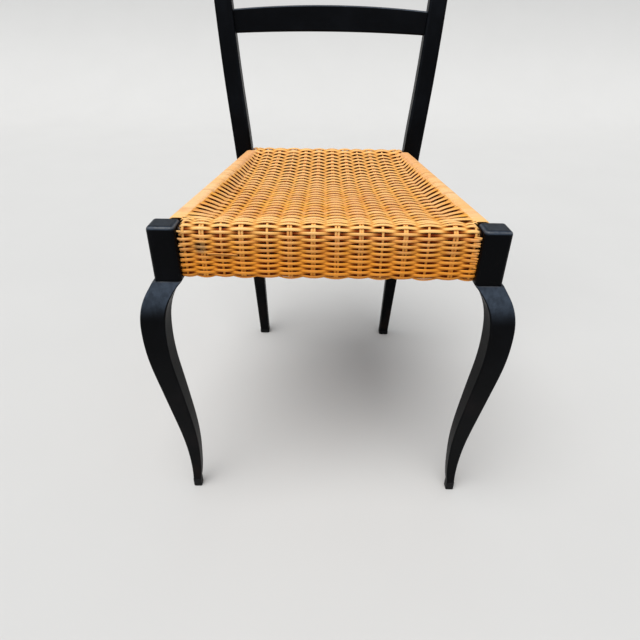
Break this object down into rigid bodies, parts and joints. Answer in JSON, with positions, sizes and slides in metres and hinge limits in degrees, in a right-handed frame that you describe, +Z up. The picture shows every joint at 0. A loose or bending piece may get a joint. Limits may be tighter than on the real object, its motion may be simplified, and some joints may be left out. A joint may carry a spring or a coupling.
{
  "type": "high back chair",
  "caption": "Black wooden side chair with cabriole front legs, splayed ladder back and a woven cane seat that wraps over the front rail.",
  "frame": {"origin": "bottom centre of the bounding box, on the floor between the four feet", "axes": "+X to the right of someone facing the front of the chair, +Y to the back of the chair, +Z up"},
  "size_m": [0.4746, 0.5798, 1.115],
  "materials": {
    "black_lacquered_wood": "satin black lacquer, lightly worn on the edges",
    "woven_cane": "split cane, warm honey, amber on the front apron",
    "black_plastic": "moulded foot cap",
    "steel": "blued flat head tack"
  },
  "bodies": {
    "root": {"right_front_leg": "black_lacquered_wood", "left_front_leg": "black_lacquered_wood", "right_rear_post": "black_lacquered_wood", "left_rear_post": "black_lacquered_wood", "front_seat_rail": "black_lacquered_wood", "rear_seat_rail": "black_lacquered_wood", "right_seat_rail": "black_lacquered_wood", "left_seat_rail": "black_lacquered_wood", "back_slat_1": "black_lacquered_wood", "back_slat_2": "black_lacquered_wood", "back_slat_3": "black_lacquered_wood", "back_slat_4": "black_lacquered_wood", "back_slat_5": "black_lacquered_wood", "crest_slat": "black_lacquered_wood", "woven_seat_field": "woven_cane", "woven_front_apron": "woven_cane", "rear_rail_wrap": "woven_cane", "right_rail_wrap": "woven_cane", "left_rail_wrap": "woven_cane", "right_front_glide": "black_plastic", "left_front_glide": "black_plastic", "right_rear_glide": "black_plastic", "left_rear_glide": "black_plastic", "cane_tacks": "steel"}
  },
  "joints": []
}
